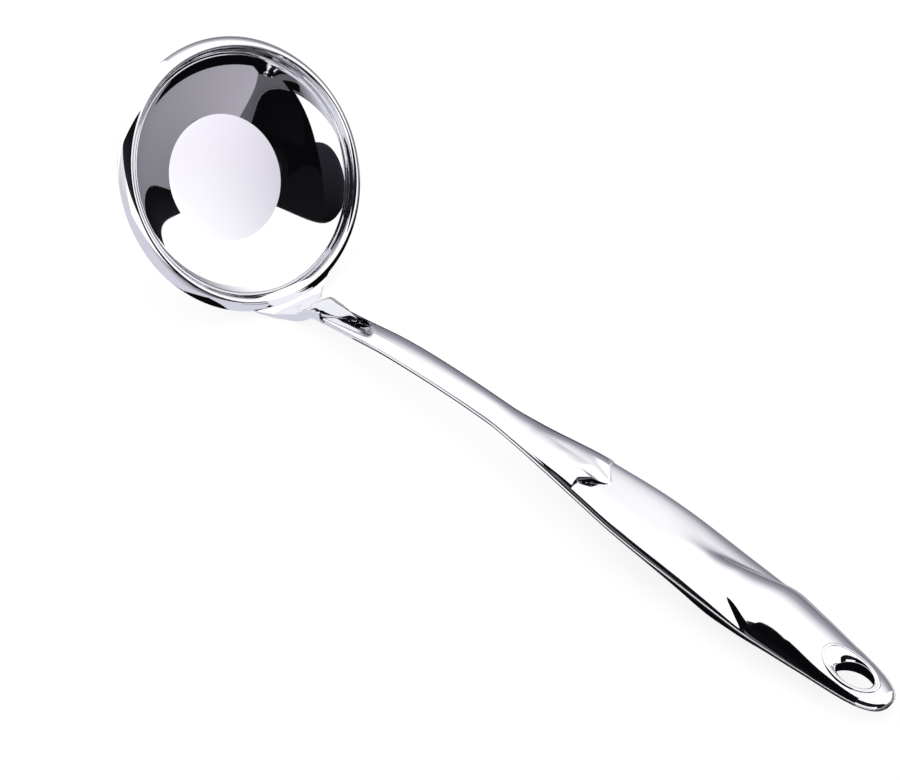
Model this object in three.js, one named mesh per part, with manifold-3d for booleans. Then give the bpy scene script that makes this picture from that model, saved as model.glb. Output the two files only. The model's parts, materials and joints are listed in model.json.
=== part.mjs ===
// Soup ladle with a drawn bowl and a hollow two-shell handle, lying on its lip and handle end.
import * as THREE from 'three';
import { mergeVertices } from 'three/addons/utils/BufferGeometryUtils.js';
import Module from 'manifold-3d';

// Bowl, drawn from sheet, measured in the plane of its rim (millimetres)
const RIM_RADIUS = 45;
const LIP_WIDTH = 3.6;
const LIP_RISE = 3.8;
const INSIDE_DEPTH = 15;
const BASE_RADIUS = 21;
const BOWL_SHEET = 1.3;
const BASE_CREASE_ANGLE = 24;
const BOWL_SEGMENTS = 60;

// Neck that grows out of the rim and ends in a pointed tongue
const NECK_SHEET = 1.0;
const NECK_ROOT_HALF_WIDTH = 20;
const NECK_SETBACK = 11.3;
const NECK_RISE = 32.5;
const TONGUE_LENGTH = 8.5;
const SLOT_OVERRUN = 4;
const TONGUE_SHEET = 0.9;
const TANG_LENGTH = 20;
const TANG_HALF_WIDTH = 2.3;

// Hollow handle, pressed from two half shells
const SHELL_SHEET = 0.9;
const HANDLE_LENGTH = 226;
const MOUTH_OVERRUN = 11;
const MOUTH_HALF_WIDTH = 4.6;
const SHAFT_HALF_WIDTH = 5.0;
const GRIP_HALF_WIDTH = 12;
const SHAFT_HALF_HEIGHT = 3.0;
const GRIP_HALF_HEIGHT = 6;
const TIP_ROUNDING = 13.5;
const STEP_LENGTH = 0.9;
const STEP_BOW = 4.5;

// Seam weld along both sides of the handle
const SEAM_BEAD_HEIGHT = 0.8;
const SEAM_BEAD_PROUD = 0.35;
const SEAM_GAP = 0.2;

// Neck weld round the handle mouth
const NECK_BEAD = 1.1;

// Hanging eye lined with a flared oval sleeve
const EYE_FROM_END = 14;
const EYE_HALF_LENGTH = 8.6;
const EYE_HALF_WIDTH = 5.1;
const EYE_THROAT_HALF_LENGTH = 5.6;
const EYE_THROAT_HALF_WIDTH = 4.1;
const EYE_THROAT_SHIFT = 1.7;
const EYE_THROAT_LEVEL = 0.9;
const EYE_LOWER_HALF_LENGTH = 7.2;
const EYE_SHEET = 0.9;
const EYE_PROUD = 0.25;

// Fit between pieces that touch
const CLEARANCE = 0.3;

const wasm = await Module();
wasm.setup();

// Small helpers

// Smooth value along a run of knots [position, value], never overshooting them.
function along(knots, s) {
  const n = knots.length;
  if (s <= knots[0][0]) return knots[0][1];
  if (s >= knots[n - 1][0]) return knots[n - 1][1];
  let k = 0;
  while (s > knots[k + 1][0]) k += 1;
  const rise = (i) => (knots[i + 1][1] - knots[i][1]) / (knots[i + 1][0] - knots[i][0]);
  const slope = (i) => {
    if (i === 0 || i === n - 1) return 0;
    const before = rise(i - 1);
    const after = rise(i);
    return before * after <= 0 ? 0 : (2 * before * after) / (before + after);
  };
  const span = knots[k + 1][0] - knots[k][0];
  const t = (s - knots[k][0]) / span;
  const a = knots[k][1];
  const b = knots[k + 1][1];
  const ta = slope(k) * span;
  const tb = slope(k + 1) * span;
  return a + t * (ta + t * (3 * (b - a) - 2 * ta - tb + t * (2 * (a - b) + ta + tb)));
}

// Closed skin through rings of equal count; the ends are capped with fans.
function loft(rings, closed = false) {
  const count = rings[0].length;
  const position = [];
  const index = [];
  rings.forEach((ring) => ring.forEach((p) => position.push(p.x, p.y, p.z)));
  const last = closed ? rings.length : rings.length - 1;
  for (let i = 0; i < last; i += 1) {
    const next = (i + 1) % rings.length;
    for (let j = 0; j < count; j += 1) {
      const k = (j + 1) % count;
      const a = i * count + j;
      const b = i * count + k;
      const c = next * count + k;
      const d = next * count + j;
      index.push(a, b, c, a, c, d);
    }
  }
  if (!closed) {
    const cap = (ring, offset, flip) => {
      const centre = ring.reduce((sum, p) => sum.add(p), new THREE.Vector3()).divideScalar(count);
      const hub = position.length / 3;
      position.push(centre.x, centre.y, centre.z);
      for (let j = 0; j < count; j += 1) {
        const a = offset + j;
        const b = offset + ((j + 1) % count);
        if (flip) index.push(hub, b, a);
        else index.push(hub, a, b);
      }
    };
    cap(rings[0], 0, true);
    cap(rings[rings.length - 1], (rings.length - 1) * count, false);
  }
  const geometry = new THREE.BufferGeometry();
  geometry.setAttribute('position', new THREE.Float32BufferAttribute(position, 3));
  geometry.setIndex(index);
  return geometry;
}

// Body for boolean work, turned so that its faces look outward.
function toBody(geometry) {
  const bare = new THREE.BufferGeometry();
  bare.setAttribute('position', geometry.getAttribute('position'));
  bare.setIndex(geometry.getIndex());
  const merged = mergeVertices(bare, 1e-4);
  const p = merged.getAttribute('position').array;
  const raw = Array.from(merged.getIndex().array);
  const tri = [];
  for (let i = 0; i < raw.length; i += 3) {
    const [a, b, c] = [raw[i], raw[i + 1], raw[i + 2]];
    if (a !== b && b !== c && a !== c) tri.push(a, b, c);
  }
  let volume = 0;
  for (let i = 0; i < tri.length; i += 3) {
    const [a, b, c] = [tri[i] * 3, tri[i + 1] * 3, tri[i + 2] * 3];
    volume += p[a] * (p[b + 1] * p[c + 2] - p[b + 2] * p[c + 1]);
    volume -= p[a + 1] * (p[b] * p[c + 2] - p[b + 2] * p[c]);
    volume += p[a + 2] * (p[b] * p[c + 1] - p[b + 1] * p[c]);
  }
  if (volume < 0) {
    for (let i = 0; i < tri.length; i += 3) [tri[i + 1], tri[i + 2]] = [tri[i + 2], tri[i + 1]];
  }
  const mesh = new wasm.Mesh({
    numProp: 3,
    vertProperties: new Float32Array(p),
    triVerts: new Uint32Array(tri),
  });
  return new wasm.Manifold(mesh);
}

// Geometry of a finished body.
function toGeometry(body) {
  const mesh = body.getMesh();
  const geometry = new THREE.BufferGeometry();
  geometry.setAttribute('position', new THREE.Float32BufferAttribute(mesh.vertProperties, 3));
  geometry.setIndex(Array.from(mesh.triVerts));
  return geometry;
}

// Bowl section, from the middle of the base out to the edge of the lip

const BASE_LEVEL = LIP_RISE - INSIDE_DEPTH;
const CREST_RADIUS = RIM_RADIUS - LIP_WIDTH;

// Inner line of the bowl wall: flat base, crease, rising wall, rolled lip.
function bowlLine() {
  const crease = THREE.MathUtils.degToRad(BASE_CREASE_ANGLE);
  const reach = CREST_RADIUS - BASE_RADIUS;
  const top = new THREE.Vector2(CREST_RADIUS - LIP_WIDTH * 0.16, LIP_RISE * 0.55);
  const wall = new THREE.CubicBezierCurve(
    new THREE.Vector2(BASE_RADIUS, BASE_LEVEL),
    new THREE.Vector2(BASE_RADIUS + reach * 0.5, BASE_LEVEL + reach * 0.5 * Math.tan(crease)),
    new THREE.Vector2(CREST_RADIUS - LIP_WIDTH * 0.22, BASE_LEVEL + INSIDE_DEPTH * 0.55),
    top,
  );
  const lip = new THREE.CubicBezierCurve(
    top,
    new THREE.Vector2(CREST_RADIUS - LIP_WIDTH * 0.14, LIP_RISE * 1.1),
    new THREE.Vector2(CREST_RADIUS + LIP_WIDTH * 0.62, LIP_RISE * 1.14),
    new THREE.Vector2(RIM_RADIUS, 0),
  );
  return [
    new THREE.Vector2(0, BASE_LEVEL),
    ...wall.getPoints(10),
    ...lip.getPoints(8).slice(1),
  ];
}

// The same line moved outward by the sheet thickness.
function offsetLine(line, distance) {
  return line.map((p, i) => {
    const a = line[Math.max(i - 1, 0)];
    const b = line[Math.min(i + 1, line.length - 1)];
    const along2 = new THREE.Vector2().subVectors(b, a).normalize();
    const normal = new THREE.Vector2(along2.y, -along2.x);
    if (i === 0) normal.set(0, -1);
    if (i === 1) normal.set(Math.sin(0.17), -Math.cos(0.17));
    return new THREE.Vector2(p.x + normal.x * distance, p.y + normal.y * distance);
  });
}

function makeBowl() {
  const inner = bowlLine();
  const outer = offsetLine(inner, BOWL_SHEET);
  outer[0].x = 0;
  outer[1].y = outer[0].y;
  const section = [...outer, ...inner.reverse()];
  const lathe = new THREE.LatheGeometry(section, BOWL_SEGMENTS);
  lathe.rotateX(Math.PI / 2);
  return toBody(lathe);
}

// Handle centre line, in the plane of symmetry of the rim frame

const centrePoint = (run, rise) => new THREE.Vector3(
  RIM_RADIUS + NECK_SETBACK + run * HANDLE_LENGTH, 0, NECK_RISE + rise * HANDLE_LENGTH,
);
const CENTRE_LINE = new THREE.CatmullRomCurve3([
  centrePoint(0, 0),
  centrePoint(0.0385, 0.0863),
  centrePoint(0.1049, 0.2058),
  centrePoint(0.1823, 0.3274),
  centrePoint(0.2527, 0.4345),
  centrePoint(0.3367, 0.5553),
  centrePoint(0.419, 0.6704),
  centrePoint(0.4898, 0.769),
  centrePoint(0.5429, 0.8398),
]);
CENTRE_LINE.arcLengthDivisions = 2000;
const LINE_LENGTH = CENTRE_LINE.getLength();

// Point at a distance s along the handle, y to its side and n above its middle.
function onHandle(s, y, n) {
  const u = THREE.MathUtils.clamp(s / LINE_LENGTH, 0, 1);
  const point = CENTRE_LINE.getPointAt(u);
  const tangent = CENTRE_LINE.getTangentAt(u);
  const overrun = s - u * LINE_LENGTH;
  point.addScaledVector(tangent, overrun);
  return new THREE.Vector3(point.x - tangent.z * n, y, point.z + tangent.x * n);
}

// Handle section values along its length, at shares of that length

const STEP_SHARE = 0.489;
const STEP_POSITION = STEP_SHARE * HANDLE_LENGTH;
const STEP_HALF_SHARE = STEP_LENGTH / HANDLE_LENGTH / 2;
const HALF_WIDTH = [
  [0, MOUTH_HALF_WIDTH],
  [0.133, SHAFT_HALF_WIDTH],
  [0.305, SHAFT_HALF_WIDTH * 0.99],
  [0.367, GRIP_HALF_WIDTH * 0.5],
  [0.429, GRIP_HALF_WIDTH * 0.63],
  [0.504, GRIP_HALF_WIDTH * 0.8],
  [0.58, GRIP_HALF_WIDTH * 0.94],
  [0.65, GRIP_HALF_WIDTH * 0.985],
  [0.79, GRIP_HALF_WIDTH * 0.99],
  [0.858, GRIP_HALF_WIDTH * 0.89],
  [0.916, GRIP_HALF_WIDTH * 0.765],
  [1, GRIP_HALF_WIDTH * 0.6],
];
const CROWN = [
  [0, SHAFT_HALF_HEIGHT],
  [0.305, SHAFT_HALF_HEIGHT * 1.07],
  [0.367, GRIP_HALF_HEIGHT * 0.67],
  [0.425, GRIP_HALF_HEIGHT * 0.9],
  [STEP_SHARE - STEP_HALF_SHARE, GRIP_HALF_HEIGHT * 0.96],
  [STEP_SHARE + STEP_HALF_SHARE, GRIP_HALF_HEIGHT * 0.43],
  [0.6, GRIP_HALF_HEIGHT * 0.45],
  [0.686, GRIP_HALF_HEIGHT * 0.62],
  [0.743, GRIP_HALF_HEIGHT * 0.98],
  [0.796, GRIP_HALF_HEIGHT * 1.2],
  [0.858, GRIP_HALF_HEIGHT * 0.95],
  [0.92, GRIP_HALF_HEIGHT * 0.58],
  [1, GRIP_HALF_HEIGHT * 0.38],
];
const PAD = [
  [0, SHAFT_HALF_HEIGHT * 0.43],
  [0.376, GRIP_HALF_HEIGHT * 0.33],
  [0.434, GRIP_HALF_HEIGHT * 0.45],
  [STEP_SHARE, GRIP_HALF_HEIGHT * 0.58],
  [0.686, GRIP_HALF_HEIGHT * 0.58],
  [0.735, GRIP_HALF_HEIGHT * 0.53],
  [0.779, GRIP_HALF_HEIGHT * 0.42],
  [0.84, GRIP_HALF_HEIGHT * 0.3],
  [1, GRIP_HALF_HEIGHT * 0.17],
];
const BELLY = [
  [0, SHAFT_HALF_HEIGHT],
  [0.305, SHAFT_HALF_HEIGHT * 0.97],
  [0.429, GRIP_HALF_HEIGHT * 0.63],
  [0.504, GRIP_HALF_HEIGHT * 0.67],
  [0.62, GRIP_HALF_HEIGHT * 0.77],
  [0.686, GRIP_HALF_HEIGHT * 1.1],
  [0.743, GRIP_HALF_HEIGHT * 1.45],
  [0.796, GRIP_HALF_HEIGHT * 1.13],
  [0.84, GRIP_HALF_HEIGHT * 0.82],
  [0.92, GRIP_HALF_HEIGHT * 0.58],
  [1, GRIP_HALF_HEIGHT * 0.43],
];
const CROWN_SPREAD = [[0, 1], [0.6, 1], [0.67, 0.36], [0.72, 0.48], [0.765, 0.72], [0.82, 1]];
const PAD_FULLNESS = [[0, 4], [0.575, 4], [0.73, 2.6]];
const valueAt = (knots, s) => along(knots, s / HANDLE_LENGTH);

// The end of the handle closes in an oval nose.
function nose(s) {
  const q = THREE.MathUtils.clamp((s - HANDLE_LENGTH + TIP_ROUNDING) / TIP_ROUNDING, 0, 1);
  return Math.max(1 - q ** 2.6, 0) ** (1 / 2.6);
}

const halfWidth = (s) => valueAt(HALF_WIDTH, s) * Math.max(nose(s), 0.12);

// How far the step of the crown bows towards the end of the handle, at a share of the half width.
function stepBow(s, side) {
  const near = THREE.MathUtils.smoothstep(s, STEP_POSITION - 25, STEP_POSITION - 6)
    * (1 - THREE.MathUtils.smoothstep(s, STEP_POSITION + 12, STEP_POSITION + 34));
  return STEP_BOW * near * (1 - side * side);
}

// Height of the upper face: the crown, or the flat thumb pad where that stands higher.
function topHeight(s, y, inset) {
  const shrink = Math.max(nose(s), 0.12) ** 0.6;
  const side = Math.min(Math.abs(y) / Math.max(halfWidth(s) - inset, 0.2), 1);
  const spread = Math.min(side / valueAt(CROWN_SPREAD, s), 1);
  const rise = valueAt(CROWN, s - stepBow(s, side)) * shrink - inset;
  const crown = rise * Math.sqrt(1 - spread * spread);
  const full = valueAt(PAD_FULLNESS, s);
  const pad = (valueAt(PAD, s) * shrink - inset) * (1 - side ** full) ** (1 / full);
  return Math.max(crown, pad, 0);
}

// Depth of the lower face below the seam.
function bellyDepth(s, y, inset) {
  const shrink = Math.max(nose(s), 0.12) ** 0.6;
  const side = Math.min(Math.abs(y) / Math.max(halfWidth(s) - inset, 0.2), 1);
  return Math.max((valueAt(BELLY, s) * shrink - inset) * Math.sqrt(1 - side * side), 0);
}

const SEAM_EDGE = SEAM_BEAD_HEIGHT / 2 + SEAM_GAP;

// Positions of the section rings, closer together where the shape changes fast.
function stations(from, to) {
  const list = [from];
  let s = from;
  while (s < to - 0.05) {
    const nearStep = Math.abs(s - STEP_POSITION + 1) < STEP_LENGTH * 2;
    const nearNose = s > HANDLE_LENGTH - TIP_ROUNDING;
    const onShaft = s < HANDLE_LENGTH * 0.28;
    const stride = nearStep ? STEP_LENGTH / 2 : nearNose ? 1.5 : onShaft ? 8 : 5;
    s = Math.min(s + stride, to);
    list.push(s);
  }
  return list;
}

// Half of the handle as a solid, on the upper (side = 1) or lower (side = -1) side of the seam.
function halfSolid(side, inset, from, to, steps) {
  const height = side > 0 ? topHeight : bellyDepth;
  const floor = inset > 0 ? SEAM_EDGE - 1 : SEAM_EDGE;
  const rings = stations(from, to).map((station) => {
    const ring = [];
    for (let i = 0; i <= steps; i += 1) {
      const share = -Math.cos((Math.PI * i) / steps);
      const s = station + (side > 0 ? stepBow(station, share) : 0);
      const y = share * Math.max(halfWidth(s) - inset, 0.2);
      const full = height(s, y, inset);
      const rise = i === 0 || i === steps ? 0 : full;
      ring.push(onHandle(s, y, side * Math.max(rise, SEAM_EDGE + (rise > 0 ? 0.02 : 0))));
    }
    if (inset > 0) {
      const wide = Math.max(halfWidth(station) - inset, 0.2);
      ring.push(onHandle(station, wide, side * floor));
      ring.push(onHandle(station, -wide, side * floor));
    }
    return ring;
  });
  return toBody(loft(rings));
}

// Oval column through the handle, used for the eye.
function ovalColumn(centre, halfLength, halfSide, from, to) {
  const rings = [from, to].map((n) => {
    const ring = [];
    for (let i = 0; i < 48; i += 1) {
      const angle = (2 * Math.PI * i) / 48;
      ring.push(onHandle(centre + halfLength * Math.cos(angle), halfSide * Math.sin(angle), n));
    }
    return ring;
  });
  return toBody(loft(rings));
}

const EYE_POSITION = HANDLE_LENGTH - EYE_FROM_END;
const eyeOuterLength = EYE_HALF_LENGTH + EYE_SHEET;
const eyeOuterWidth = EYE_HALF_WIDTH + EYE_SHEET;

// Flared oval sleeve, narrowest in its throat; its edges follow the faces of the handle.
function makeEye() {
  const ovalRing = (centre, halfLength, halfSide, level) => {
    const ring = [];
    for (let i = 0; i < 40; i += 1) {
      const angle = (2 * Math.PI * i) / 40;
      const s = centre + halfLength * Math.cos(angle);
      const y = halfSide * Math.sin(angle);
      ring.push(onHandle(s, y, level(s, y)));
    }
    return ring;
  };
  const top = (lift) => (s, y) => topHeight(s, y, 0) + lift;
  const low = (s, y) => -bellyDepth(s, y, 0);
  const throat = EYE_POSITION + EYE_THROAT_SHIFT;
  return toBody(loft([
    ovalRing(EYE_POSITION, eyeOuterLength, eyeOuterWidth, top(EYE_PROUD)),
    ovalRing(EYE_POSITION, eyeOuterLength, eyeOuterWidth, low),
    ovalRing(throat, EYE_LOWER_HALF_LENGTH, EYE_HALF_WIDTH, low),
    ovalRing(throat, EYE_THROAT_HALF_LENGTH, EYE_THROAT_HALF_WIDTH, () => EYE_THROAT_LEVEL),
    ovalRing(EYE_POSITION, EYE_HALF_LENGTH, EYE_HALF_WIDTH, top(EYE_PROUD * 0.6)),
  ], true));
}

function eyeCut() {
  return ovalColumn(
    EYE_POSITION,
    eyeOuterLength + CLEARANCE,
    eyeOuterWidth + CLEARANCE,
    -GRIP_HALF_HEIGHT * 2,
    GRIP_HALF_HEIGHT * 2,
  );
}

// Neck: from the lip up to the handle mouth, and on as a tongue over the shaft

const MOUTH = -MOUTH_OVERRUN;

// Half width of the tongue at a distance s along the handle.
function tongueHalfWidth(s) {
  const t = THREE.MathUtils.clamp((s - MOUTH) / TONGUE_LENGTH, 0, 1);
  return Math.max(MOUTH_HALF_WIDTH * 0.9 * (1 - t) ** 0.85, 0.25);
}

// Half width of the slot round the tongue.
function slotHalfWidth(s) {
  const t = THREE.MathUtils.clamp((s - MOUTH) / (TONGUE_LENGTH + SLOT_OVERRUN), 0, 1);
  return Math.max(MOUTH_HALF_WIDTH * (1 - t ** 1.5) ** 0.8, 0.4);
}

// Wide thin sheet at the lip that draws together into a full oval at the handle mouth.
function makeNeck() {
  const endPosition = MOUTH - CLEARANCE * 2 - NECK_BEAD;
  const end = onHandle(endPosition, 0, 0);
  const endTangent = onHandle(endPosition + 1, 0, 0).sub(end);
  const rim = (out, up) => new THREE.Vector3(RIM_RADIUS + out, 0, LIP_RISE + up);
  const path = new THREE.CatmullRomCurve3([
    rim(-3.1, -0.85), rim(-1.9, -1.15), rim(-0.4, -1.7), rim(1.3, -0.6), rim(2.9, 2.6),
    rim(4.3, 7.7), onHandle(endPosition - SHAFT_HALF_HEIGHT * 2, 0, 0), end,
  ]);
  const root = NECK_ROOT_HALF_WIDTH;
  const half = [
    [0, root], [0.06, root * 0.93], [0.13, root * 0.75], [0.22, root * 0.51], [0.36, root * 0.37],
    [0.58, root * 0.31], [0.8, root * 0.26], [1, MOUTH_HALF_WIDTH],
  ];
  const thick = [
    [0, NECK_SHEET / 2], [0.15, NECK_SHEET * 0.6], [0.36, NECK_SHEET * 1.1],
    [0.58, SHAFT_HALF_HEIGHT * 0.57], [0.8, SHAFT_HALF_HEIGHT * 0.87], [1, SHAFT_HALF_HEIGHT],
  ];
  const sag = [
    [0, 0], [0.06, -0.15], [0.13, -0.8], [0.22, -0.9], [0.36, -0.5], [0.6, -0.1], [0.85, 0],
  ];
  const bend = [[0, 1], [0.15, 1], [0.36, 0.6], [0.7, 0]];
  const oval = [[0.25, 0], [0.9, 1]];
  const columns = 14;
  const rings = [];
  for (let i = 0; i <= 16; i += 1) {
    const t = i / 16;
    const centre = path.getPointAt(t);
    const tangent = path.getTangentAt(t).lerp(endTangent, THREE.MathUtils.smoothstep(t, 0.7, 1));
    const ring = [];
    const put = (v, side) => {
      const y = v * along(half, t);
      const back = along(bend, t) * (RIM_RADIUS - Math.sqrt(RIM_RADIUS ** 2 - y * y));
      const round = THREE.MathUtils.lerp(1, Math.sqrt(Math.max(1 - v * v, 0.01)), along(oval, t));
      const lift = along(sag, t) * Math.abs(v) ** 2.5 + side * along(thick, t) * round;
      ring.push(new THREE.Vector3(
        centre.x - tangent.z * lift - back, y, centre.z + tangent.x * lift,
      ));
    };
    for (let j = 0; j <= columns; j += 1) put(-Math.cos((Math.PI * j) / columns), 1);
    for (let j = columns; j >= 0; j -= 1) put(-Math.cos((Math.PI * j) / columns), -1);
    rings.push(ring);
  }
  return toBody(loft(rings));
}

// Pointed tongue that lies in a slot of the upper shell.
function makeTongue() {
  const rings = [];
  const from = MOUTH - CLEARANCE * 4 - NECK_BEAD;
  for (let i = 0; i <= 10; i += 1) {
    const s = THREE.MathUtils.lerp(from, MOUTH + TONGUE_LENGTH, i / 10);
    const ring = [];
    for (const v of [-1, -0.5, 0, 0.5, 1]) {
      const y = v * tongueHalfWidth(s);
      ring.push(onHandle(s, y, topHeight(s, y, 0)));
    }
    for (const v of [1, 0.5, 0, -0.5, -1]) {
      const y = v * tongueHalfWidth(s);
      ring.push(onHandle(s, y, topHeight(s, y, 0) - TONGUE_SHEET));
    }
    rings.push(ring);
  }
  return toBody(loft(rings));
}

// Solid tang under the tongue, pushed into the hollow of the shaft.
function makeTang(margin) {
  const half = TANG_HALF_WIDTH + margin;
  const high = SHAFT_HALF_HEIGHT - SHELL_SHEET - CLEARANCE * 3 + margin;
  const rings = stations(MOUTH - NECK_BEAD * 3, MOUTH + TANG_LENGTH).map((s) => [
    onHandle(s, -half, -high), onHandle(s, half, -high), onHandle(s, half, high), onHandle(s, -half, high),
  ]);
  return toBody(loft(rings));
}

// Slot in the upper shell that lets the tongue in, with a dark gap on each side.
function tongueSlot() {
  const rings = [];
  for (let i = 0; i <= 12; i += 1) {
    const s = THREE.MathUtils.lerp(MOUTH - 2, MOUTH + TONGUE_LENGTH + SLOT_OVERRUN, i / 12);
    const wide = slotHalfWidth(s);
    const low = SHAFT_HALF_HEIGHT * 0.2;
    const high = SHAFT_HALF_HEIGHT * 3;
    rings.push([
      onHandle(s, -wide, low), onHandle(s, wide, low), onHandle(s, wide, high), onHandle(s, -wide, high),
    ]);
  }
  return toBody(loft(rings));
}

// Bead of weld metal along one side of the handle, lying in the joint of the shells.
function makeSeamBead(side) {
  const rings = stations(MOUTH + 0.5, HANDLE_LENGTH - 1).map((s) => {
    const out = halfWidth(s) - 0.02;
    const inn = Math.max(out - SHELL_SHEET, 0.25);
    const h = SEAM_BEAD_HEIGHT / 2;
    return [
      onHandle(s, side * inn, -h), onHandle(s, side * out, -h),
      onHandle(s, side * (out + SEAM_BEAD_PROUD), 0), onHandle(s, side * out, h),
      onHandle(s, side * inn, h),
    ];
  });
  return toBody(loft(rings));
}

// Weld bead under the tongue, round the tang between the neck and the handle mouth.
function makeNeckBead() {
  const rings = [MOUTH - CLEARANCE - NECK_BEAD, MOUTH - CLEARANCE].map((s) => {
    const ring = [];
    for (let i = 0; i <= 24; i += 1) {
      const angle = Math.PI + (Math.PI * i) / 24;
      const n = Math.min(SHAFT_HALF_HEIGHT * Math.sin(angle), -CLEARANCE);
      ring.push(onHandle(s, MOUTH_HALF_WIDTH * Math.cos(angle), n));
    }
    return ring;
  });
  return toBody(loft(rings)).subtract(makeTang(CLEARANCE));
}

// Bodies of the finished pieces

function makeShell(side) {
  const solid = halfSolid(side, 0, MOUTH, HANDLE_LENGTH, 16);
  const hollow = halfSolid(side, SHELL_SHEET, MOUTH - 2, HANDLE_LENGTH - TIP_ROUNDING * 0.2, 10);
  let shell = solid.subtract(hollow).subtract(eyeCut());
  if (side > 0) shell = shell.subtract(tongueSlot());
  return shell;
}

const bowlBody = makeBowl().add(makeNeck()).add(makeTongue()).add(makeTang(0));
const lowerShell = makeShell(-1);
const eyeColumn = eyeCut();
const pieces = [
  ['ladle_bowl', bowlBody, 0xd8dade],
  ['handle_upper_shell', makeShell(1), 0xcfd2d8],
  ['handle_lower_shell', lowerShell, 0xc4c8cf],
  ['seam_weld_left', makeSeamBead(-1).subtract(eyeColumn), 0xe6e6e6],
  ['seam_weld_right', makeSeamBead(1).subtract(eyeColumn), 0xe6e6e6],
  ['neck_weld', makeNeckBead(), 0xb9bcc2],
  ['hang_eye_sleeve', makeEye(), 0xdfe2e6],
];

// Lay the ladle down so that its lip and the belly of its handle touch the table

function lowest(body, angle) {
  const p = body.getMesh().vertProperties;
  let best = 0;
  const level = (i) => p[i + 2] * Math.cos(angle) - p[i] * Math.sin(angle);
  for (let i = 0; i < p.length; i += 3) if (level(i) < level(best)) best = i;
  return new THREE.Vector2(p[best], p[best + 2]);
}

let lieAngle = 1;
for (let i = 0; i < 6; i += 1) {
  const rest = lowest(lowerShell, lieAngle).sub(lowest(bowlBody, lieAngle));
  lieAngle = rest.angle();
}

const group = new THREE.Group();
group.name = 'soup_ladle';
const box = new THREE.Box3();
for (const [name, body, colour] of pieces) {
  const geometry = toGeometry(body);
  geometry.rotateY(lieAngle);
  geometry.computeBoundingBox();
  box.union(geometry.boundingBox);
  const material = new THREE.MeshStandardMaterial({ color: colour, metalness: 1, roughness: 0.15 });
  const mesh = new THREE.Mesh(geometry, material);
  mesh.name = name;
  group.add(mesh);
}
const middle = box.getCenter(new THREE.Vector3());
for (const mesh of group.children) {
  mesh.geometry.translate(-middle.x, 0, -box.min.z);
  mesh.geometry.computeVertexNormals();
}

export default group;
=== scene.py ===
"""Studio scene of a polished steel soup ladle lying on a white table.

The ladle has a drawn bowl with a rolled pouring lip, a flared neck that ends in a pointed tongue,
a hollow handle made of two pressed half shells with welded seams, and a sleeved hanging eye.
Shapes are worked out in millimetres in the frame of the rim and then laid down on the table.
"""

import json
import logging
import math
from dataclasses import dataclass
from enum import Enum
from functools import cached_property
from typing import Sequence

import bpy
import numpy as np
from mathutils import Matrix, Vector

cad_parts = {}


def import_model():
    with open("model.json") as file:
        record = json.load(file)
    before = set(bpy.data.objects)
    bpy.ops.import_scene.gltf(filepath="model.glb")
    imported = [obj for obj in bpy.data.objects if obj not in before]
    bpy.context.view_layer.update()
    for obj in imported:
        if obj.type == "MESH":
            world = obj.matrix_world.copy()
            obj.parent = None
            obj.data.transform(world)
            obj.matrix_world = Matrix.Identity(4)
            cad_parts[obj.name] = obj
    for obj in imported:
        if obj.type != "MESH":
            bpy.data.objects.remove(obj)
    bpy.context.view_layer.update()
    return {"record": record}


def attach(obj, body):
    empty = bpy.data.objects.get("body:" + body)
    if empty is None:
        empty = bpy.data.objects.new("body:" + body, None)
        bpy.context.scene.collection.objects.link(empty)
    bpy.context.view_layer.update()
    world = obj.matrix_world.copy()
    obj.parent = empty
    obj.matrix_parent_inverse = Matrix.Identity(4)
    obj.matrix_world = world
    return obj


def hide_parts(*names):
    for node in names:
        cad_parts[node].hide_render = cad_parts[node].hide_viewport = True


LOG = logging.getLogger("ladle")
MM = 0.001
FULL_TURN = 2.0 * math.pi


class Side(Enum):
    """The two halves of the handle, above and below the seam."""

    UPPER = 1
    LOWER = -1


class Slot(Enum):
    """Material slots of the record."""

    BOWL = "bowl_steel"
    HANDLE = "handle_steel"
    WELD = "weld_steel"


def ease(share: np.ndarray) -> np.ndarray:
    """Return shares held between 0 and 1 that start and end gently."""
    t = np.clip(share, 0.0, 1.0)
    return t * t * (3.0 - 2.0 * t)


def bezier(points: Sequence[tuple[float, float]], count: int) -> np.ndarray:
    """Return points on a cubic curve.

    Args:
        points: Its four control points.
        count: Number of stretches.

    Returns:
        Points of the curve, both ends among them.
    """
    p = np.array(points, dtype=float)
    t = np.linspace(0.0, 1.0, count + 1)[:, None]
    return (1 - t) ** 3 * p[0] + 3 * (1 - t) ** 2 * t * p[1] + 3 * (1 - t) * t**2 * p[2] + t**3 * p[3]


class Knots:
    """Values along a length that run smoothly through given points without overshooting."""

    def __init__(self, pairs: Sequence[tuple[float, float]]) -> None:
        """Keep the points and work out a slope at each.

        Args:
            pairs: Positions in rising order, each with its value.
        """
        self.s = np.array([p[0] for p in pairs], dtype=float)
        self.v = np.array([p[1] for p in pairs], dtype=float)
        rise = np.diff(self.v) / np.diff(self.s)
        before, after = rise[:-1], rise[1:]
        safe = np.where(before + after == 0.0, 1.0, before + after)
        inner = np.where(before * after <= 0.0, 0.0, 2.0 * before * after / safe)
        self.slope = np.concatenate([[0.0], inner, [0.0]])

    def at(self, s: np.ndarray | float) -> np.ndarray:
        """Return the values at given positions.

        Args:
            s: Positions along the length.

        Returns:
            The values, held constant beyond both ends.
        """
        s = np.clip(np.asarray(s, dtype=float), self.s[0], self.s[-1])
        k = np.clip(np.searchsorted(self.s, s, side="right") - 1, 0, len(self.s) - 2)
        span = self.s[k + 1] - self.s[k]
        t = (s - self.s[k]) / span
        a, b = self.v[k], self.v[k + 1]
        ta, tb = self.slope[k] * span, self.slope[k + 1] * span
        return a + t * (ta + t * (3 * (b - a) - 2 * ta - tb + t * (2 * (a - b) + ta + tb)))


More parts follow.
